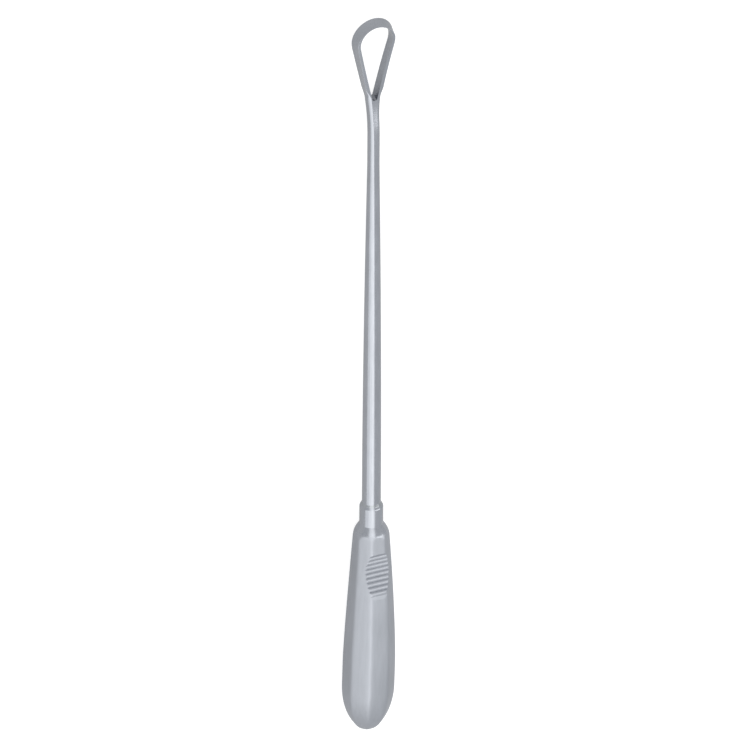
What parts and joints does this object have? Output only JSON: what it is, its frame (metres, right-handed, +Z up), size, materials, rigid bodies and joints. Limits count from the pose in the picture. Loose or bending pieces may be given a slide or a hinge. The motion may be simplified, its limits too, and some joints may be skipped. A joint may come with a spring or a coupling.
{
  "type": "uterine curette",
  "caption": "Loop curette: a sharp-edged forged loop on a round tapered shaft, brazed into an octagonal steel grip with a ribbed thumb rest.",
  "frame": {"origin": "on the surface the curette lies on, under the middle of its length and width", "axes": "+Y along the tool towards the loop, +Z up, which is the side of the loop's sharp edge and of the thumb rest, +X across"},
  "size_m": [0.0188, 0.3125, 0.019],
  "materials": {
    "forged_steel": "satin",
    "grip_steel": "satin"
  },
  "bodies": {
    "root": {"loop_shaft": "forged_steel", "handle": "grip_steel"}
  },
  "joints": []
}
